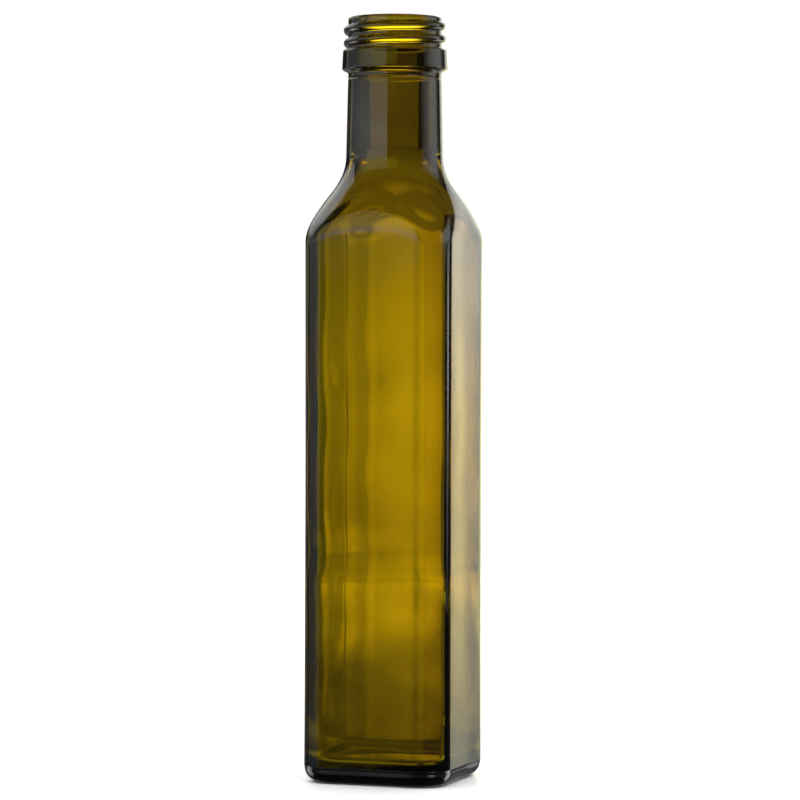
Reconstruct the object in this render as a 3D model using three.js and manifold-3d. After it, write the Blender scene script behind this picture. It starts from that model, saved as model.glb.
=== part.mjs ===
// Empty marasca oil bottle, 250 ml, without its cap: one piece of pressed and blown olive glass.
// Millimetres, +Z up. The foot stands on z = 0, the axis is Z, and the flat faces look along X and Y.

import * as THREE from "three";
import { mergeVertices } from "three/addons/utils/BufferGeometryUtils.js";
import Module from "manifold-3d";

const wasm = await Module();
wasm.setup();

// Driving dimensions of the outside
const height = 228;
const side = 45.56; // across two opposite faces
const cornerRadius = 9; // of the four upright edges
const waist = 0.14; // how far each face draws in at its slimmest
const waistHeight = 80;
const faceSink = 0.2; // how far each face is hollowed from side to side
const footInset = 3.7; // from the face in to the edge of the foot
const heelHeight = 4.4; // up to the seam between the base plate and the mould
const seamStep = 0.12; // the body stands out this far over the base plate
const bearingWidth = 2.2; // of the flat ring that the bottle stands on
const pushUp = 3.4; // hollow of the underside

// Shoulder: a cone that cuts through the square body and runs into the neck
const coneRadius = 22.7; // at coneHeight
const coneHeight = 170.7;
const coneSlope = 0.776; // radius gained per millimetre down
const cornerSoftness = 2.5; // of the edge between the cone and the upright edges
const faceSoftness = 6; // of the edge between the cone and the middle of a face
const throatSoftness = 3.9; // of the curve between the cone and the neck
const shoulderFoot = 159;
const shoulderTop = 187;

// Neck, transfer ring and finish
const neckRadius = 14.07; // just under the ring
const neckTaper = 0.0232; // radius gained per millimetre down
const seamHeight = 209.6; // of the fine groove where the neck ring met the mould
const seamDepth = 0.12;
const ringFoot = 212.3;
const ringTop = 218.4;
const ringRadius = 15.93; // at its sharp lower edge
const ringTopRadius = 15.64;
const ringEdge = 0.9; // rounding of its upper edge
const ringBevel = 1; // height of the bevel under the ring
const finishRadius = 14.1;
const lipEdge = 0.9;

// Thread: a half-round bead wound up the finish, sinking into the wall at both ends
const beadRadius = 1.35;
const threadPitch = 3.75;
const threadStart = { angle: 115, height: 219.05 }; // the low end, in degrees from +X
const threadTurns = 1.875;
const threadFade = 0.2; // turns over which each end sinks away
const threadLean = { angle: 19, drop: 0.3 }; // the winding sits a little low on this side
const beadSides = 12; // around the whole bead, half of it sunk in the wall
const threadSteps = 84;

// Driving dimensions of the hollow
const wall = 2.75;
const hollowCorners = [5.6, 6.6, 7.6, 6.2]; // counted round from the one between +X and +Y
const swell = 0.45; // the wall is thicker above swellHeight and thinner below it
const swellHeight = 63;
const swellEdge = 2.5;
const swellLength = 22;
const shoulderWall = 3.3; // between the two cones, measured level
const hollowSoftness = 6.5; // of the curve between the shoulder and the bore
const archShare = 0.55; // of the outside's softness over the faces
const boreRadius = 10.5;
const mouthEdge = 0.9;
const floorCentre = 6.8; // of the slightly domed floor inside, above the table
const floorEdge = 6;
const floorCurve = 2.5; // radius between the floor and the walls
const aboveMouth = 3; // the hollow is cut this far past the lip

// Fineness of the mesh
const outerSegments = 64;
const hollowSegments = 48;
const crowding = 0.115; // draws the segments towards the upright edges

const half = side / 2;
const footHalf = half - footInset;
const pushUpHalf = footHalf - bearingWidth;
const hollowHalf = half - wall;

// The smaller of two values, with a soft change from one to the other
function softMin(a, b, softness) {
  const overlap = Math.max(softness - Math.abs(a - b), 0);
  return Math.min(a, b) - overlap ** 2 / (4 * softness);
}

function softMax(a, b, softness) {
  return -softMin(-a, -b, softness);
}

// Distance from the axis to a square with rounded corners, in a given direction
function squareReach(angle, halfWidth, corner) {
  const quarter = Math.PI / 2;
  const fromFace = Math.abs(angle - quarter * Math.round(angle / quarter));
  const centre = halfWidth - corner;
  if (halfWidth * Math.tan(fromFace) <= centre) return halfWidth / Math.cos(fromFace);
  const along = centre * (Math.cos(fromFace) + Math.sin(fromFace));
  return along + Math.sqrt(corner ** 2 - 2 * centre ** 2 + along ** 2);
}

// Corner radius of a level section: the same share of its width down to the foot, then rounder
// towards the middle of a floor
function cornerOf(halfWidth, full, edge) {
  const share = full.corner / full.half;
  return halfWidth * (1 - (1 - share) * Math.min(halfWidth / edge, 1) ** 2);
}

function coneAt(z) {
  return coneRadius + coneSlope * (coneHeight - z);
}

function neckAt(z) {
  return neckRadius + neckTaper * (ringFoot - ringBevel - z);
}

function shoulderAt(z) {
  return softMax(neckAt(z), coneAt(z), throatSoftness);
}

function hollowShoulderAt(z) {
  return softMax(boreRadius, coneAt(z) - shoulderWall, hollowSoftness);
}

// Half width of the body, a little slimmer at its waist
function faceAt(z) {
  const fromWaist = (z - waistHeight) / waistHeight;
  return half - waist * Math.max(1 - fromWaist ** 2, 0);
}

function hollowFaceAt(z) {
  const above = z - swellHeight;
  const fade = Math.exp(-Math.abs(above) / swellLength);
  return half - wall - swell * Math.tanh(above / swellEdge) * fade;
}

// A row of heights from one to another, both included
function levels(from, to, count) {
  return Array.from({ length: count + 1 }, (_, i) => from + ((to - from) * i) / count);
}

const point = (x, z) => new THREE.Vector2(x, z);

// A quarter round between two points, level at its start (turn 1) or upright at its start (turn -1)
function quarterRound(from, to, steps, turn) {
  return levels(0, Math.PI / 2, steps)
    .slice(1)
    .map((a) => {
      const across = turn > 0 ? Math.sin(a) : 1 - Math.cos(a);
      const up = turn > 0 ? 1 - Math.cos(a) : Math.sin(a);
      return point(from.x + (to.x - from.x) * across, from.y + (to.y - from.y) * up);
    });
}

// Outline of the outside, from the middle of the underside up to the middle of the mouth. The x of a
// point is the half width of the square below the shoulder's top, and the radius above it.
function outsideProfile() {
  const underside = levels(0, 1, 5)
    .slice(0, -1)
    .map((t) => point(pushUpHalf * t, pushUp * (1 - t ** 2)));
  const foot = point(footHalf, 0);
  const heel = quarterRound(foot, point(half - seamStep, heelHeight), 5, 1);
  const body = [heelHeight + seamStep, 14, 48, 80, 112, 138].map((z) => point(faceAt(z), z));
  const shoulder = levels(shoulderFoot, shoulderTop, 17).map((z) => point(faceAt(z), z));
  const neck = [
    point(neckAt(seamHeight - seamDepth), seamHeight - seamDepth),
    point(neckAt(seamHeight) - seamDepth, seamHeight),
    point(neckAt(seamHeight + seamDepth), seamHeight + seamDepth),
    point(neckAt(ringFoot - ringBevel), ringFoot - ringBevel),
  ];
  const ringCorner = point(ringTopRadius, ringTop - ringEdge);
  const ring = [
    point(ringRadius - 0.5, ringFoot - 0.3),
    point(ringRadius, ringFoot),
    ringCorner,
    ...quarterRound(ringCorner, point(ringTopRadius - ringEdge, ringTop), 3, -1),
    point(finishRadius, ringTop),
  ];
  const lipCorner = point(finishRadius, height - lipEdge);
  const lip = [lipCorner, ...quarterRound(lipCorner, point(finishRadius - lipEdge, height), 3, -1)];
  return [
    ...underside,
    point(pushUpHalf, 0),
    foot,
    ...heel,
    ...body,
    ...shoulder,
    ...neck,
    ...ring,
    ...lip,
    point(0, height),
  ];
}

function hollowProfile() {
  const flatEdge = hollowHalf - floorCurve;
  const floor = levels(0, 1, 4).map((t) => {
    const rise = (1 + Math.cos(Math.PI * t)) / 2;
    return point(flatEdge * t, floorEdge + (floorCentre - floorEdge) * rise);
  });
  const wallFoot = point(hollowFaceAt(floorEdge + floorCurve), floorEdge + floorCurve);
  const curve = quarterRound(point(flatEdge, floorEdge), wallFoot, 4, 1);
  const walls = [20, 36, 48, 56, 60, 63, 66, 70, 80, 95, 120, 150].map((z) => point(hollowFaceAt(z), z));
  const shoulder = levels(156, shoulderTop, 12).map((z) => point(hollowFaceAt(z), z));
  const mouthFoot = point(boreRadius, height - mouthEdge);
  const mouth = quarterRound(mouthFoot, point(boreRadius + mouthEdge, height), 3, 1);
  const above = height + aboveMouth;
  const flare = point(boreRadius + mouthEdge, above);
  return [...floor, ...curve, ...walls, ...shoulder, mouthFoot, ...mouth, flare, point(0, above)];
}

// How far a face is hollowed in a given direction: most in its middle, nothing at its edges
function sinkAt(angle) {
  const quarter = Math.PI / 2;
  const across = Math.tan(Math.abs(angle - quarter * Math.round(angle / quarter)));
  return faceSink * Math.max(1 - (across / (1 - cornerRadius / half)) ** 2, 0) ** 2;
}

function archSoftness(angle) {
  return THREE.MathUtils.lerp(cornerSoftness, faceSoftness, (1 + Math.cos(4 * angle)) / 2);
}

// Distance from the axis for a profile point (spread, z): the shoulder's round section cuts into the
// square one, and above shoulderTop everything is round
function outsideReach(spread, z, angle) {
  if (z > shoulderTop) return spread;
  const corner = cornerOf(spread, { half, corner: cornerRadius }, pushUpHalf);
  const square = squareReach(angle, spread, corner) - (sinkAt(angle) * spread) / half;
  return softMin(shoulderAt(z), square, archSoftness(angle));
}

function hollowReach(spread, z, angle) {
  if (z > shoulderTop) return spread;
  const quadrant = Math.floor(angle / (Math.PI / 2)) & 3;
  const full = { half: hollowHalf, corner: hollowCorners[quadrant] };
  const corner = cornerOf(spread, full, hollowHalf - floorCurve);
  const square = squareReach(angle, spread, corner) - (sinkAt(angle) * spread) / hollowHalf;
  return softMin(hollowShoulderAt(z), square, archShare * archSoftness(angle));
}

// Turns a profile about Z, then moves every vertex out or in to what reach gives
function turned(profile, segments, reach) {
  const geometry = new THREE.LatheGeometry(profile, segments).rotateX(Math.PI / 2);
  const position = geometry.getAttribute("position");
  for (let i = 0; i < position.count; i++) {
    const spread = Math.hypot(position.getX(i), position.getY(i));
    if (spread < 1e-6) continue;
    const even = Math.atan2(position.getY(i), position.getX(i));
    const angle = even + crowding * Math.sin(4 * even);
    const radius = reach(spread, position.getZ(i), angle);
    position.setXY(i, radius * Math.cos(angle), radius * Math.sin(angle));
  }
  return geometry;
}

// The line that the bead follows: a right-handed helix that dives into the wall at each end
class ThreadPath extends THREE.Curve {
  getPoint(t, target = new THREE.Vector3()) {
    const turn = t * threadTurns;
    const toEnd = Math.min(turn, threadTurns - turn);
    const sunk = (1 - THREE.MathUtils.smoothstep(toEnd, 0, threadFade)) * (beadRadius + 0.2);
    const angle = THREE.MathUtils.degToRad(threadStart.angle) + turn * 2 * Math.PI;
    const lean = threadLean.drop * Math.cos(angle - THREE.MathUtils.degToRad(threadLean.angle));
    const radius = finishRadius - sunk;
    const z = threadStart.height + turn * threadPitch - lean;
    return target.set(radius * Math.cos(angle), radius * Math.sin(angle), z);
  }
}

function threadBead() {
  const section = new THREE.Shape().absarc(0, 0, beadRadius, 0, 2 * Math.PI);
  return new THREE.ExtrudeGeometry(section, {
    steps: threadSteps,
    curveSegments: beadSides / 2,
    bevelEnabled: false,
    extrudePath: new ThreadPath(),
  });
}

// Geometry to a solid that can be joined and cut, and back
function solidOf(geometry) {
  const bare = new THREE.BufferGeometry();
  bare.setAttribute("position", geometry.getAttribute("position"));
  bare.setIndex(geometry.getIndex());
  const merged = mergeVertices(bare, 1e-4);
  return new wasm.Manifold(
    new wasm.Mesh({
      numProp: 3,
      vertProperties: merged.getAttribute("position").array,
      triVerts: new Uint32Array(merged.getIndex().array),
    }),
  );
}

function geometryOf(solid) {
  const mesh = solid.getMesh();
  const geometry = new THREE.BufferGeometry();
  geometry.setAttribute("position", new THREE.BufferAttribute(mesh.vertProperties, 3));
  geometry.setIndex(new THREE.BufferAttribute(mesh.triVerts, 1));
  geometry.computeVertexNormals();
  return geometry;
}

function bottleGeometry() {
  const outside = solidOf(turned(outsideProfile(), outerSegments, outsideReach));
  const hollow = solidOf(turned(hollowProfile(), hollowSegments, hollowReach));
  return geometryOf(outside.add(solidOf(threadBead())).subtract(hollow));
}

const oliveGlass = new THREE.MeshStandardMaterial({ color: 0x7a6205, roughness: 0.05, metalness: 0 });

const bottle = new THREE.Mesh(bottleGeometry(), oliveGlass);
bottle.name = "bottle";

const part = new THREE.Group();
part.add(bottle);

export default part;
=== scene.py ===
# Empty 250 ml marasca oil bottle in olive glass, standing on a white studio table
import math

import bpy
import numpy as np
from mathutils import Euler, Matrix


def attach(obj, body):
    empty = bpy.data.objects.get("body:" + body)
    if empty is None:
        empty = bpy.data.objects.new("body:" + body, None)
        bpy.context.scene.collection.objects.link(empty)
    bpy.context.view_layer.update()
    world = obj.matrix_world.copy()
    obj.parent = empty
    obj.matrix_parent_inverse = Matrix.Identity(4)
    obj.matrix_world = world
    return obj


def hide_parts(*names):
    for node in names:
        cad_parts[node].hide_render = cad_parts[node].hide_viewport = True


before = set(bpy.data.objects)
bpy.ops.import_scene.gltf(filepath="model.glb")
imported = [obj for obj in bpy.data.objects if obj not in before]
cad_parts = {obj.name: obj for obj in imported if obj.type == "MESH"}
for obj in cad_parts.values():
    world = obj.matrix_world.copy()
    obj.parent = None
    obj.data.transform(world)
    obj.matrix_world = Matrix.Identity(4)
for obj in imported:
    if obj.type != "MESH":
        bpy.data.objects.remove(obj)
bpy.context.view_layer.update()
mm = 0.001


# Camera: at the photograph's place, a little above the middle of the bottle

camera = {
    "azimuth": 19.5,  # degrees from the front face towards the right one
    "distance": 1.034,  # metres from the bottle's axis
    "height": 0.1349,
    "lens": 155.1,
    "sensor": 36,
    "tilt": -1.187,  # degrees, down is negative
    "turn": 0.095,  # degrees to the right of the bottle's axis
    "roll": 0.18,
    "near": 0.05,
    "far": 30,
}


def makeCamera(choice):
    data = bpy.data.cameras.new("camera")
    data.lens = choice["lens"]
    data.sensor_width = choice["sensor"]
    data.clip_start = choice["near"]
    data.clip_end = choice["far"]
    made = bpy.data.objects.new("camera", data)
    bpy.context.scene.collection.objects.link(made)
    around = math.radians(choice["azimuth"])
    across = choice["distance"]
    made.location = (across * math.sin(around), -across * math.cos(around), choice["height"])
    aim = Euler((math.radians(90 + choice["tilt"]), 0, around - math.radians(choice["turn"])))
    roll = Euler((0, 0, math.radians(choice["roll"])))
    made.rotation_euler = (aim.to_matrix() @ roll.to_matrix()).to_euler()
    bpy.context.scene.camera = made


makeCamera(camera)
print("camera: in place")


# Shader maths: a wrapped socket adds Math nodes when it is used in a sum or a product

class Socket:
    def __init__(self, graph, socket):
        self.graph = graph
        self.socket = socket

    def math(self, operation, first, second):
        return self.graph.node("ShaderNodeMath", {"operation": operation}, {0: first, 1: second})

    def __add__(self, other):
        return self.math("ADD", self, other)

    def __radd__(self, other):
        return self.math("ADD", other, self)

    def __mul__(self, other):
        return self.math("MULTIPLY", self, other)

    def __rmul__(self, other):
        return self.math("MULTIPLY", other, self)


class Graph:
    def __init__(self, tree):
        self.tree = tree
        tree.nodes.clear()

    # A node from its type, its settings and the values or links of its sockets
    def node(self, kind, settings=None, inputs=None, output=0):
        made = self.tree.nodes.new(kind)
        for name, value in (settings or {}).items():
            if name == "stops":
                self.setStops(made.color_ramp, value)
            else:
                setattr(made, name, value)
        for name, value in (inputs or {}).items():
            if isinstance(value, Socket):
                self.tree.links.new(value.socket, made.inputs[name])
            else:
                made.inputs[name].default_value = value
        return Socket(self, made.outputs[output]) if made.outputs else made

    def setStops(self, ramp, stops):
        ramp.interpolation = "LINEAR"
        for place, level in stops[1:-1]:
            ramp.elements.new(place)
        for element, (place, level) in zip(ramp.elements, stops):
            element.position = place
            element.color = (level, level, level, 1)


def newMaterial(name):
    made = bpy.data.materials.new(name)
    made.use_nodes = True
    return made, Graph(made.node_tree)


def newPiece(name, points, faces):
    mesh = bpy.data.meshes.new(name)
    mesh.from_pydata(points, [], faces)
    made = bpy.data.objects.new(name, mesh)
    bpy.context.scene.collection.objects.link(made)
    return made


# Bottle: millimetres, and heights from the table

outside = {
    "height": 228,
    "half": 22.77,  # axis to a flat face
    "corner": 9,  # radius of an upright edge
    "waist": 0.14,  # each face draws in by this at its slimmest
    "waistHeight": 80,
    "sink": 0.2,  # depth of the hollow across a face
    "footInset": 3.7,  # from a face in to the edge that the bottle stands on
    "heelHeight": 4.4,
    "seamStep": 0.12,  # fine step on top of the heel, left by the mould
    "bearingWidth": 2.2,
    "bearingEdge": ((0.15, 0.02), (0.4, 0)),  # small round on its inner edge, as x and z
    "pushUp": 3.4,
    "neckRadius": 14.07,  # at the neck's top
    "neckTaper": 0.0232,  # the radius grows by this for each millimetre down
    "neckTop": 211.3,
    "shoulderTop": 187,
    "finishRadius": 14.1,
    "lip": 0.9,  # rounding of the mouth
    "neckSeam": 209.6,  # height of the fine line left by the mould
    "neckSeamDepth": 0.12,
    "neckSeamHalf": 0.4,
    "ringRadius": 15.93,
    "ringTopRadius": 15.64,
    "ringEdge": (0.5, 0.3),  # slope between the ring's side and its underside, as x and z
    "ringBottom": 212.0,
    "ringTop": 218.4,
}

shoulder = {
    "radius": 22.7,  # of the cone, at the next line's height
    "height": 170.7,
    "slope": 0.776,
    "cornerSoftness": 2.5,  # where the cone meets the corners
    "faceSoftness": 6,  # where it meets the middle of a face
    "throatSoftness": 3.9,
}

hollow = {
    "corners": (5.6, 6.6, 7.6, 6.2),  # back right, back left, front left, front right
    "wall": 2.75,
    "swell": 0.45,  # the wall is thicker by this above the next line's height, and thinner below
    "swellHeight": 63,
    "swellEdge": 2.5,  # height over which one turns into the other
    "swellLength": 22,  # and over which both fade
    "shoulderWall": 3.3,
    "throatSoftness": 6.5,
    "archShare": 0.55,  # of the outside's softness
    "bore": 10.5,
    "floorCentre": 6.8,
    "floorEdge": 6,
    "floorCurve": 2.5,
    # slow waves in the blown wall: depth, length up the bottle, lobes round it and start, in turns
    "waves": ((0.16, 52, 1, 0.1), (0.13, 37, 2, 0.6), (0.05, 19, 3, 0.3)),
    "calmFace": 0.35,  # share of the waves that the faces show
    "calmFloor": 14,  # height over which the waves grow from the floor
    "calmShoulder": (128, 158),  # and die away towards the shoulder
}

thread = {
    "bead": 1.35,  # radius of the bead
    "pitch": 3.75,
    "startAngle": 115,
    "startHeight": 219.05,
    "turns": 1.875,
    "fade": 0.2,  # turns over which each end sinks into the wall
    "sink": 0.2,  # how far inside the wall the bead's ends lie
    "leanAngle": 19,  # the turns stand lowest on this side
    "leanDrop": 0.3,
    "fillet": 0.5,
    "above": 218.7,  # rows above this height carry the thread
    "beyond": 13.5,  # where they lie outside this radius
}

fineness = {
    "columns": 240,
    "crowding": 0.115,  # how much closer the columns stand at the corners
    "curveRows": 12,  # in the push-up, the heel and the edge of the hollow's floor
    "floorRows": 14,
    "seamClear": 0.6,  # the body's rows start this far above the heel
    "bodyTop": 152,  # wider steps between rows up to here
    "bodyStep": 4,
    "hollowBodyStep": 1.5,
    "shoulderFoot": 153,  # and finer ones from here up
    "shoulderStep": 0.9,
    "hollowShoulderStep": 1,
    "bends": 6,  # straight parts in each rounded corner of the neck's line
}


def softMin(a, b, softness):
    overlap = np.maximum(softness - np.abs(a - b), 0)
    return np.minimum(a, b) - overlap**2 / (4 * softness)


def softMax(a, b, softness):
    return -softMin(-a, -b, softness)


# Angle from the middle of the nearest face
def angleFromFace(angle):
    quarter = math.pi / 2
    return np.abs(angle - quarter * np.round(angle / quarter))


# Distance from the axis to a square with rounded corners
def squareReach(angle, halfWidth, corner):
    fromFace = angleFromFace(angle)
    centre = halfWidth - corner
    along = centre * (np.cos(fromFace) + np.sin(fromFace))
    rounded = along + np.sqrt(np.maximum(corner**2 - 2 * centre**2 + along**2, 0))
    return np.where(halfWidth * np.tan(fromFace) <= centre, halfWidth / np.cos(fromFace), rounded)


# Level sections get rounder towards the middle of a floor
def cornerOf(halfWidth, half, corner, edge):
    return halfWidth * (1 - (1 - corner / half) * min(halfWidth / edge, 1) ** 2)


def neckAt(z):
    return outside["neckRadius"] + outside["neckTaper"] * (outside["neckTop"] - z)


def coneAt(z):
    return shoulder["radius"] + shoulder["slope"] * (shoulder["height"] - z)


def faceAt(z):
    fromWaist = (z - outside["waistHeight"]) / outside["waistHeight"]
    return outside["half"] - outside["waist"] * max(1 - fromWaist**2, 0)


# The faces are very slightly hollow from side to side
def faceSink(angle):
    across = np.tan(angleFromFace(angle))
    flat = 1 - outside["corner"] / outside["half"]
    return outside["sink"] * np.maximum(1 - (across / flat) ** 2, 0) ** 2


def archSoftness(angle):
    face = np.maximum(np.cos(4 * angle) + 1, 0) / 2
    return shoulder["cornerSoftness"] + (shoulder["faceSoftness"] - shoulder["cornerSoftness"]) * face


# Thickness of the wall by height
def wallAt(z):
    above = z - hollow["swellHeight"]
    fade = math.exp(-abs(above) / hollow["swellLength"])
    return hollow["wall"] + hollow["swell"] * math.tanh(above / hollow["swellEdge"]) * fade


def hollowFaceAt(z):
    return outside["half"] - wallAt(z)


def outsideReach(spread, z, angle):
    edge = outside["half"] - outside["footInset"] - outside["bearingWidth"]
    corner = cornerOf(spread, outside["half"], outside["corner"], edge)
    cone = softMax(neckAt(z), coneAt(z), shoulder["throatSoftness"])
    square = squareReach(angle, spread, corner) - faceSink(angle) * spread / outside["half"]
    return softMin(cone, square, archSoftness(angle))


def waveAt(z, angle):
    sizes = [
        depth * np.sin(2 * math.pi * (z / length + start) + lobes * angle)
        for depth, length, lobes, start in hollow["waves"]
    ]
    up = np.clip((z - hollow["floorEdge"]) / hollow["calmFloor"], 0, 1)
    fading, gone = hollow["calmShoulder"]
    down = np.clip((gone - z) / (gone - fading), 0, 1)
    corner = (1 - np.cos(4 * angle)) / 2
    return sum(sizes) * up * down * (hollow["calmFace"] + (1 - hollow["calmFace"]) * corner)


def hollowReach(spread, z, angle):
    half = outside["half"] - hollow["wall"]
    quadrant = np.floor(angle / (math.pi / 2)).astype(int) % 4
    full = np.array(hollow["corners"])[quadrant]
    corner = cornerOf(spread, half, full, half - hollow["floorCurve"])
    cone = softMax(hollow["bore"], coneAt(z) - hollow["shoulderWall"], hollow["throatSoftness"])
    square = squareReach(angle, spread, corner) - faceSink(angle) * spread / half
    return softMin(cone, square, archSoftness(angle) * hollow["archShare"]) + waveAt(z, angle)


# The finish's wall with the bead of the thread standing on it
def threadReach(z, angle):
    wall = outside["finishRadius"]
    reach = np.full_like(angle, wall)
    first = ((angle - math.radians(thread["startAngle"])) / (2 * math.pi)) % 1
    for lap in range(math.ceil(thread["turns"])):
        turn = first + lap
        toEnd = np.clip(np.minimum(turn, thread["turns"] - turn) / thread["fade"], 0, 1)
        sunk = (1 - toEnd**2 * (3 - 2 * toEnd)) * (thread["bead"] + thread["sink"])
        lean = thread["leanDrop"] * np.cos(angle - math.radians(thread["leanAngle"]))
        off = z - (thread["startHeight"] + turn * thread["pitch"] - lean)
        bead = wall - sunk + np.sqrt(np.maximum(thread["bead"] ** 2 - off**2, 0))
        bead = np.where(np.abs(off) < thread["bead"], bead, wall - thread["bead"])
        reach = np.maximum(reach, softMax(wall, bead, thread["fillet"]))
    return reach


# Rounds each corner of a line of (x, z, rounding, step) and splits its straights into steps
def smoothLine(corners):
    points = [np.array(corners[0][:2], float)]
    for before, here, after in zip(corners, corners[1:], corners[2:]):
        place = np.array(here[:2], float)
        back = np.array(before[:2]) - place
        on = np.array(after[:2]) - place
        cut = here[2]
        start = place + back / np.linalg.norm(back) * cut
        end = place + on / np.linalg.norm(on) * cut
        points += splitLine(points[-1], start, here[3])
        bends = fineness["bends"] if cut > 0 else 0
        for t in np.linspace(0, 1, bends + 1)[1:]:
            points.append((1 - t) ** 2 * start + 2 * t * (1 - t) * place + t**2 * end)
    points += splitLine(points[-1], np.array(corners[-1][:2], float), corners[-1][3])
    return points


def splitLine(start, end, step):
    count = max(1, math.ceil(np.linalg.norm(end - start) / step))
    return [start + (end - start) * i / count for i in range(1, count + 1)]


# One quarter of an ellipse between two points, level where it starts
def quarterLine(start, end, count):
    turns = [math.pi / 2 * i / count for i in range(1, count + 1)]
    across, up = end[0] - start[0], end[1] - start[1]
    return [(start[0] + across * math.sin(a), start[1] + up * (1 - math.cos(a))) for a in turns]


# Rows of the outside from the middle of the underside to the neck
def bodyRows():
    footHalf = outside["half"] - outside["footInset"]
    pushHalf = footHalf - outside["bearingWidth"]
    count = fineness["curveRows"]
    nearEdge = 0.99  # the push-up's last row lies just inside the bearing ring
    rows = [
        (pushHalf * t, outside["pushUp"] * (1 - t**2)) for t in np.linspace(0, nearEdge, count)
    ]
    rows += [(pushHalf + x, z) for x, z in outside["bearingEdge"]]
    rows.append((footHalf, 0))
    seam = outside["heelHeight"]
    step = outside["seamStep"]
    rows += quarterLine((footHalf, 0), (outside["half"] - step, seam), count)
    rows += [(faceAt(seam) - step * t, seam + step * (1 - t)) for t in (0.7, 0.3, 0)]
    low, high = seam + fineness["seamClear"], fineness["bodyTop"]
    rows += [(faceAt(z), z) for z in np.arange(low, high, fineness["bodyStep"])]
    low, high = fineness["shoulderFoot"], outside["shoulderTop"]
    rows += [(faceAt(z), z) for z in np.arange(low, high, fineness["shoulderStep"])]
    return rows


# Neck, ring, finish and lip down to the bottom of the bore, each corner as x, z, rounding and step
def roundLine():
    height, shoulderTop = outside["height"], outside["shoulderTop"]
    seam, seamHalf = outside["neckSeam"], outside["neckSeamHalf"]
    ring, (edgeIn, edgeUp) = outside["ringRadius"], outside["ringEdge"]
    bottom, top = outside["ringBottom"], outside["ringTop"]
    finish, lip, bore = outside["finishRadius"], outside["lip"], hollow["bore"]
    return smoothLine([
        (neckAt(shoulderTop), shoulderTop, 0, 2),
        (neckAt(seam - seamHalf), seam - seamHalf, 0.12, 2),
        (neckAt(seam) - outside["neckSeamDepth"], seam, 0.12, 0.2),
        (neckAt(seam + seamHalf), seam + seamHalf, 0.12, 0.2),
        (outside["neckRadius"], outside["neckTop"], 0.35, 0.4),
        (ring - edgeIn, bottom, 0.15, 0.4),
        (ring, bottom + edgeUp, 0.2, 0.2),
        (outside["ringTopRadius"], top, 0.9, 0.8),
        (finish, top, 0.3, 0.3),
        (finish, height, lip, 0.12),
        (bore, height, lip, 0.3),
        (bore, shoulderTop, 0, 2.5),
    ])


# Rows of the hollow from the shoulder down to the middle of its floor
def hollowRows():
    base, bend = hollow["floorEdge"], hollow["floorCurve"]
    flat = hollowFaceAt(base) - bend
    foot = base + bend
    rise = hollow["floorCentre"] - base
    floor = [
        (flat * t, base + rise * (1 + math.cos(math.pi * t)) / 2)
        for t in np.linspace(0, 1, fineness["floorRows"])
    ]
    curve = quarterLine((flat, base), (hollowFaceAt(foot), foot), fineness["curveRows"])
    step = fineness["hollowBodyStep"]
    walls = [(hollowFaceAt(z), z) for z in np.arange(foot + step, fineness["bodyTop"], step)]
    low, high = fineness["shoulderFoot"], outside["shoulderTop"]
    top = [(hollowFaceAt(z), z) for z in np.arange(low, high, fineness["hollowShoulderStep"])]
    return (floor + curve + walls + top)[::-1]


def bottlePoints():
    even = np.linspace(0, 2 * math.pi, fineness["columns"], endpoint=False)
    angle = even + fineness["crowding"] * np.sin(4 * even)
    rings = [(outsideReach(x, z, angle), z) for x, z in bodyRows()[1:]]
    for x, z in roundLine():
        if x > thread["beyond"] and z > thread["above"]:
            reach = threadReach(z, angle) * x / outside["finishRadius"]
        else:
            reach = np.full_like(angle, x)
        rings.append((reach, z))
    rings += [(hollowReach(x, z, angle), z) for x, z in hollowRows()[:-1]]
    points = [
        np.column_stack([reach * np.cos(angle), reach * np.sin(angle), np.full_like(angle, z)])
        for reach, z in rings
    ]
    poles = [[0, 0, outside["pushUp"]], [0, 0, hollow["floorCentre"]]]
    return np.vstack([*points, poles]) * mm, len(rings)


def makeBottle():
    points, rows = bottlePoints()
    columns = fineness["columns"]
    low, high = rows * columns, rows * columns + 1  # middles of the underside and of the floor
    faces = []
    for j in range(columns):
        k = (j + 1) % columns
        faces.append((low, k, j))
        for i in range(rows - 1):
            a, b = i * columns, (i + 1) * columns
            faces.append((a + j, a + k, b + k, b + j))
        last = (rows - 1) * columns
        faces.append((high, last + j, last + k))
    made = newPiece("olive_bottle", points.tolist(), faces)
    made.data.shade_smooth()
    return made


# Olive glass: polished, with faint cords in its colour and a slow ripple over its surface

glass = {
    "surface": (1.0, 0.757, 0.1),  # tint of the light that crosses a surface
    "cord": (0.94, 0.72, 0.09),  # the same where a cord runs through the glass
    "cordScale": (70, 70, 9),  # cords are long and stand upright
    "passes": (0.79, 0.785, 0.3),  # the depth of the glass takes up the rest
    "density": 1000,  # absorption to a metre
    "ior": 1.52,
    "rippleScale": 24,  # lumps to a metre, roughly
    "peelScale": 130,  # a finer ripple on top of it
    "peelShare": 0.05,
    "ripple": 0.0007,  # metres
}


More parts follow.
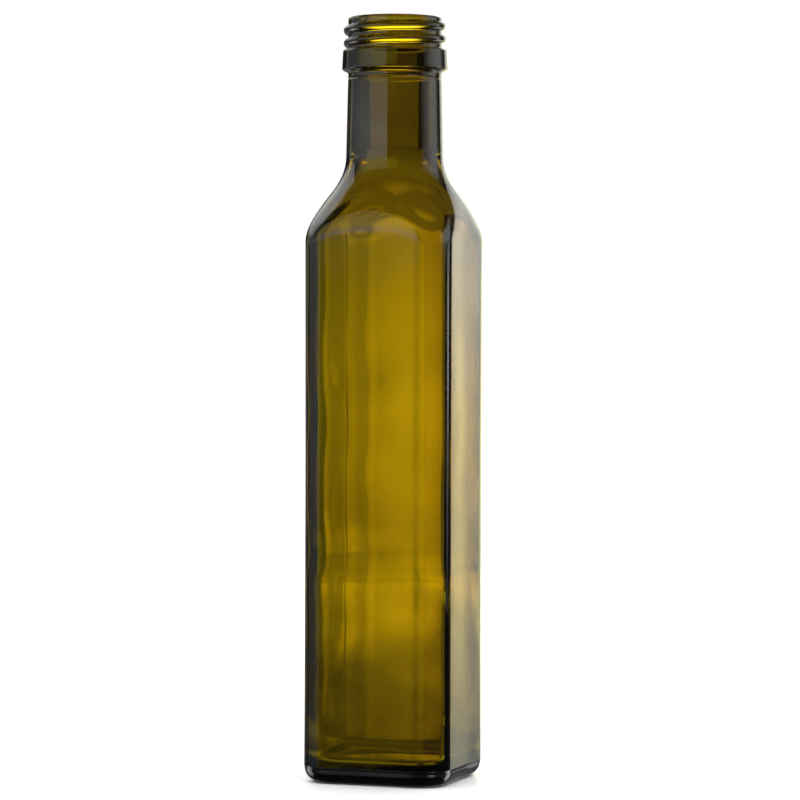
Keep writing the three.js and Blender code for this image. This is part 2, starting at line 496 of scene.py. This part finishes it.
def oliveGlass(choice):
    made, graph = newMaterial("olive_glass")
    place = graph.node("ShaderNodeTexCoord", output="Object")
    stretched = graph.node(
        "ShaderNodeVectorMath", {"operation": "MULTIPLY"}, {0: place, 1: choice["cordScale"]}
    )
    cords = graph.node("ShaderNodeTexNoise", {}, {"Vector": stretched, "Scale": 1.0, "Detail": 2.0})
    # sockets 0, 6 and 7 are the factor and the two colours, and output 2 is their mix
    tint = graph.node("ShaderNodeMix", {"data_type": "RGBA"}, {
        0: cords, 6: (*choice["surface"], 1), 7: (*choice["cord"], 1),
    }, output=2)
    slow = graph.node(
        "ShaderNodeTexNoise", {}, {"Vector": place, "Scale": choice["rippleScale"], "Detail": 1.0}
    )
    peel = graph.node(
        "ShaderNodeTexNoise", {}, {"Vector": place, "Scale": choice["peelScale"], "Detail": 1.0}
    )
    ripple = slow + peel * choice["peelShare"]
    bump = graph.node(
        "ShaderNodeBump", {}, {"Strength": 1.0, "Distance": choice["ripple"], "Height": ripple}
    )
    surface = graph.node("ShaderNodeBsdfPrincipled", {}, {
        "Base Color": tint,
        "Roughness": 0.0,
        "IOR": choice["ior"],
        "Transmission Weight": 1.0,
        "Normal": bump,
    })
    depth = graph.node("ShaderNodeVolumeAbsorption", {}, {
        "Color": (*choice["passes"], 1),
        "Density": choice["density"],
    })
    graph.node("ShaderNodeOutputMaterial", {}, {"Surface": surface, "Volume": depth})
    return made


bottle = makeBottle()
bottle.data.materials.append(oliveGlass(glass))
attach(bottle, "root")
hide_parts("bottle")
print("bottle:", len(bottle.data.polygons), "faces")


# Studio: light cards that the glass mirrors and lets through, a white table and a white ground

cards = {
    # from and to are azimuths in degrees like the camera's, low, high and distance are metres,
    # and up and across give the light's share at heights and azimuths along the card
    "upperLeft": {
        "from": -115, "to": 1, "distance": 1.0, "low": 0.16, "high": 0.9, "seenBy": "glossy",
        "tint": (1.2, 1.28, 1.28),
        "up": {0.16: 0, 0.2: 0.15, 0.24: 0.75, 0.285: 1, 0.33: 0.6, 0.45: 0.35, 0.85: 0.2, 0.9: 0},
        "across": {-115: 0.5, -100: 0.3, -79: 0.65, -59: 0.9, -41: 1.1, 1: 1},
    },
    "arch": {
        "from": -75, "to": 24.6, "distance": 1.0, "low": 0.31, "high": 0.9, "seenBy": "glossy",
        "tint": (1.1, 0.98, 0.05), "up": {0.31: 0, 0.38: 0.7, 0.5: 0.8, 0.85: 0.5, 0.9: 0},
        "across": {-75: 0, -50: 1, 1: 1, 24.6: 0.6},
    },
    "sideLeft": {
        "from": -170, "to": -90, "distance": 1.0, "low": 0.35, "high": 1.1, "seenBy": "glossy",
        "tint": (1.2, 1.22, 1.22), "up": {0.35: 0, 0.5: 1, 0.9: 1, 1.1: 0}, "across": {-170: 1, -90: 1},
    },
    "lowerLeft": {
        "from": -50, "to": 24.6, "distance": 1.0, "low": -0.12, "high": 0.25, "seenBy": "glossy",
        "tint": (1.5, 1.17, 0.0),
        "up": {
            -0.12: 0, -0.113: 0, -0.1: 0.3, -0.075: 0.3, -0.05: 0.6, -0.027: 0.85, 0.02: 0.6,
            0.056: 0.85, 0.104: 1.1, 0.18: 0.95, 0.22: 0.5, 0.25: 0,
        },
        "across": {-50: 1, 24.6: 1},
    },
    "farLeft": {
        "from": -165, "to": -40, "distance": 1.0, "low": -0.2, "high": 0.26, "seenBy": "glossy",
        "tint": (0.32, 0.34, 0.35),
        "up": {-0.2: 0.5, -0.05: 0.55, 0.02: 0.8, 0.1: 1, 0.18: 1, 0.26: 0},
        "across": {
            -165: 0.7, -125: 0.5, -100: 0.1, -97: 0.1, -94: 1.1, -80: 1.1, -66: 1.5, -56: 1.7,
            -46: 1, -40: 0,
        },
    },
    "right": {
        "from": 85, "to": 150, "distance": 1.0, "low": 0.16, "high": 0.9, "seenBy": "glossy",
        "tint": (1.25, 1.28, 1.3), "up": {0.16: 0, 0.24: 1, 0.65: 1, 0.9: 0},
        "across": {85: 0.1, 98: 0.6, 118: 1.1, 134: 0.9, 142: 0.15, 150: 0},
    },
    "lowerRight": {
        "from": 122, "to": 137, "distance": 1.0, "low": -0.02, "high": 0.2, "seenBy": "glossy",
        "tint": (2.0, 2.0, 2.0), "up": {-0.02: 0.1, 0.056: 0.4, 0.104: 1.1, 0.15: 1.2, 0.2: 0},
        "across": {122: 0, 125: 1, 134: 1, 137: 0},
    },
    "back": {
        "from": 156, "to": 200, "distance": 1.0, "low": -0.2, "high": 0.8, "seenBy": "glossy",
        "tint": (0.92, 0.97, 0.94),
        "up": {-0.2: 0.62, -0.1: 0.68, 0.02: 0.88, 0.09: 1.08, 0.16: 1.65, 0.4: 1.7, 0.8: 1},
        "across": {156: 0.2, 158: 1, 200: 1},
    },
    "backStrip": {
        "from": 159.5, "to": 200, "distance": 1.0, "low": -0.2, "high": 0.5, "seenBy": "glossy",
        "tint": (1.25, 1.05, 0.2), "lean": 9,  # degrees from its foot to its top
        "up": {
            -0.2: 0.1, -0.096: 0.28, -0.05: 0.62, 0.02: 0.75, 0.09: 0.88, 0.16: 0.6, 0.3: 0.4,
            0.5: 0,
        },
        "across": {159.5: 0, 161: 0.2, 164: 1, 200: 1},
    },
    "glow": {
        "from": 172, "to": 216, "distance": 0.6, "low": -0.07, "high": 0.2,
        "seenBy": "transmission", "tint": (1.25, 1.25, 1.25),
        "up": {
            -0.07: 0, -0.064: 0.2, -0.055: 0.25, -0.04: 0.25, -0.027: 0.44, -0.013: 0.7,
            0.0: 0.98, 0.02: 1.1, 0.035: 0.85, 0.06: 1, 0.09: 1.05, 0.12: 0.93, 0.15: 0.8,
            0.175: 0.6, 0.2: 0.42,
        },
        "across": {
            172: 0, 178: 0.8, 190: 1.0, 197: 1.15, 198.7: 1.0, 199.2: 0.95, 200: 0.8,
            200.7: 0.68, 201.1: 0.45, 203: 0.42, 206: 0.62, 212: 0.6, 214: 0.2, 216: 0,
        },
    },
    "glowLeft": {
        "from": 200.5, "to": 214, "distance": 0.6, "low": -0.02, "high": 0.045,
        "seenBy": "transmission", "tint": (0.45, 0.45, 0.45),
        "up": {-0.02: 0, 0.0: 0.65, 0.02: 1, 0.03: 0.8, 0.045: 0},
        "across": {200.5: 0, 202: 0.4, 205: 1, 212: 1, 214: 0},
    },
    "neckGlow": {
        "from": 188, "to": 213, "distance": 0.6, "low": 0.2, "high": 0.25,
        "seenBy": "transmission", "tint": (1.25, 1.3, 1.25),
        "up": {0.2: 0.42, 0.217: 0.27, 0.25: 0.26},
        "across": {188: 0.9, 204: 1, 213: 0.8},
    },
    "shoulderGlow": {
        "from": 174, "to": 224, "distance": 0.6, "low": 0.25, "high": 0.42,
        "seenBy": "transmission", "tint": (1.2, 1.4, 1.2), "up": {0.25: 0.28, 0.42: 0.36},
        "across": {174: 0, 178: 1, 220: 1, 224: 0},
    },
    "finishGlow": {
        "from": 178, "to": 224, "distance": 0.6, "low": 0.36, "high": 0.8,
        "seenBy": "transmission", "tint": (5, 4.4, 5.5),
        "up": {0.36: 0, 0.395: 0, 0.43: 1, 0.62: 1, 0.8: 0},
        "across": {178: 0, 186: 0.5, 191: 1, 208: 1, 214: 0.6, 224: 0},
    },
    # light for the other sides, which the photograph's own view hardly meets
    "around": {
        "from": 262, "to": 512, "distance": 3.0, "low": -0.4, "high": 1.4,
        "seenBy": "transmission", "tint": (0.3, 0.3, 0.3), "up": {-0.4: 1, 1.0: 1, 1.4: 0.5},
        "across": {262: 0, 270: 1, 504: 1, 512: 0},
    },
    "below": {
        "from": 0, "to": 360, "distance": 3.0, "low": -2.6, "high": -0.4,
        "seenBy": "transmission", "tint": (1.25, 1.3, 1.25),
        "up": {-2.6: 0.7, -1.4: 0.9, -0.9: 1.1, -0.65: 1, -0.4: 0},
        "across": {
            0: 1, 60: 0.75, 120: 1, 162: 1, 175: 0.06, 216: 0.06, 226: 0.4, 262: 0.4, 280: 0.9, 360: 1,
        },
    },
    "under": {
        "from": 0, "to": 360, "distance": 0.6, "low": -3.5, "high": -0.42,
        "seenBy": "transmission", "tint": (0.9, 0.9, 0.9), "up": {-3.5: 1, -0.55: 0.9, -0.42: 0},
        "across": {0: 1, 165: 1, 180: 0.1, 216: 0.1, 230: 1, 360: 1},
    },
    "strips": {
        "from": 0, "to": 360, "distance": 3.0, "low": -2.4, "high": -0.5,
        "seenBy": "glossy", "tint": (2.4, 2.45, 2.5), "up": {-2.4: 0, -1.6: 0.8, -0.8: 1, -0.5: 0},
        "across": {
            0: 0.06, 40: 0.06, 52: 0.7, 70: 0.7, 82: 0.06, 130: 0.06, 140: 1, 158: 1, 166: 0.06,
            240: 0.06, 252: 1, 268: 1, 280: 0.06, 310: 0.06, 320: 0.2, 336: 0.2, 346: 0.06, 360: 0.06,
        },
    },
}

studio = {
    "ground": 1.0,  # white that the camera sees behind the bottle
    "dark": 0.04,  # what the glass meets where there is no card
    "tableWhite": 0.9,
    "tableRoughness": 0.35,
    "tableReach": 4,
    "tableGap": 0.0001,  # metres under the foot
    "sky": 6.0,  # soft light from above, which only the table meets
    "skySpread": 120,
    "cardStep": 3,  # degrees to each flat panel of a card
}


# A ramp of light along one side of a card, from {place: share}
def lightRamp(graph, along, places):
    low, high = min(places), max(places)
    peak = max(places.values())
    stops = [((place - low) / (high - low), share / peak) for place, share in places.items()]
    return graph.node("ShaderNodeValToRGB", {"stops": stops}, {"Fac": along}) * peak


def cardMaterial(name, choice):
    made, graph = newMaterial(name)
    place = graph.node("ShaderNodeTexCoord", output="UV")
    across = graph.node("ShaderNodeSeparateXYZ", {}, {"Vector": place}, output="X")
    up = graph.node("ShaderNodeSeparateXYZ", {}, {"Vector": place}, output="Y")
    share = lightRamp(graph, up, choice["up"]) * lightRamp(graph, across, choice["across"])
    light = graph.node(
        "ShaderNodeVectorMath", {"operation": "SCALE"}, {0: choice["tint"], "Scale": share}
    )
    glow = graph.node("ShaderNodeEmission", {}, {"Color": light, "Strength": 1.0})
    clear = graph.node("ShaderNodeBsdfTransparent")
    both = graph.node("ShaderNodeAddShader", {}, {0: glow, 1: clear})
    graph.node("ShaderNodeOutputMaterial", {}, {"Surface": both})
    return made


def makeCard(name, choice):
    count = max(2, round((choice["to"] - choice["from"]) / studio["cardStep"]))
    points, faces, corners = [], [], []
    lean = choice.get("lean", 0)
    for i in range(count + 1):
        place = choice["from"] + (choice["to"] - choice["from"]) * i / count
        for turned, z in ((place - lean / 2, choice["low"]), (place + lean / 2, choice["high"])):
            a = math.radians(turned)
            points.append((choice["distance"] * math.sin(a), -choice["distance"] * math.cos(a), z))
    for i in range(count):
        faces.append((2 * i, 2 * i + 1, 2 * i + 3, 2 * i + 2))
        corners += [(i / count, 0), (i / count, 1), ((i + 1) / count, 1), ((i + 1) / count, 0)]
    made = newPiece(name, points, faces)
    flat = made.data.uv_layers.new(name="flat")
    for loop, corner in zip(flat.data, corners):
        loop.uv = corner
    made.data.materials.append(cardMaterial(name, choice))
    made.visible_camera = False
    made.visible_shadow = False
    made.visible_diffuse = False
    made.visible_glossy = choice["seenBy"] == "glossy"
    made.visible_transmission = choice["seenBy"] == "transmission"


def makeTable(choice):
    reach, top = choice["tableReach"], -choice["tableGap"]
    corners = [(-reach, -reach, top), (reach, -reach, top), (reach, reach, top), (-reach, reach, top)]
    made = newPiece("table", corners, [(0, 1, 2, 3)])
    material, graph = newMaterial("table_white")
    white = choice["tableWhite"]
    surface = graph.node("ShaderNodeBsdfPrincipled", {}, {
        "Base Color": (white, white, white, 1), "Roughness": choice["tableRoughness"],
    })
    graph.node("ShaderNodeOutputMaterial", {}, {"Surface": surface})
    made.data.materials.append(material)
    made.visible_transmission = False
    made.visible_glossy = False


def makeGround(choice):
    world = bpy.data.worlds.new("studio")
    world.use_nodes = True
    graph = Graph(world.node_tree)
    seen = graph.node("ShaderNodeLightPath", output="Is Camera Ray")
    bright, dark = choice["ground"], choice["dark"]
    white = graph.node("ShaderNodeBackground", {}, {"Color": (bright, bright, bright, 1)})
    dim = graph.node("ShaderNodeBackground", {}, {"Color": (dark, dark, dark, 1)})
    mixed = graph.node("ShaderNodeMixShader", {}, {0: seen, 1: dim, 2: white})
    graph.node("ShaderNodeOutputWorld", {}, {"Surface": mixed})
    bpy.context.scene.world = world


def makeSky(choice):
    data = bpy.data.lights.new("sky", "SUN")
    data.energy = choice["sky"]
    data.angle = math.radians(choice["skySpread"])
    made = bpy.data.objects.new("sky", data)
    bpy.context.scene.collection.objects.link(made)
    made.visible_camera = False
    made.visible_glossy = False
    made.visible_transmission = False


render = {"bounces": 24, "glossyBounces": 12}


def setRender(choice):
    scene = bpy.context.scene
    scene.view_settings.view_transform = "Standard"
    scene.cycles.use_denoising = True
    scene.cycles.max_bounces = choice["bounces"]
    scene.cycles.transmission_bounces = choice["bounces"]
    scene.cycles.glossy_bounces = choice["glossyBounces"]
    scene.cycles.caustics_reflective = False
    scene.cycles.caustics_refractive = False


for name, choice in cards.items():
    makeCard(name, choice)
makeTable(studio)
makeGround(studio)
makeSky(studio)
setRender(render)
print("studio:", len(cards), "cards")
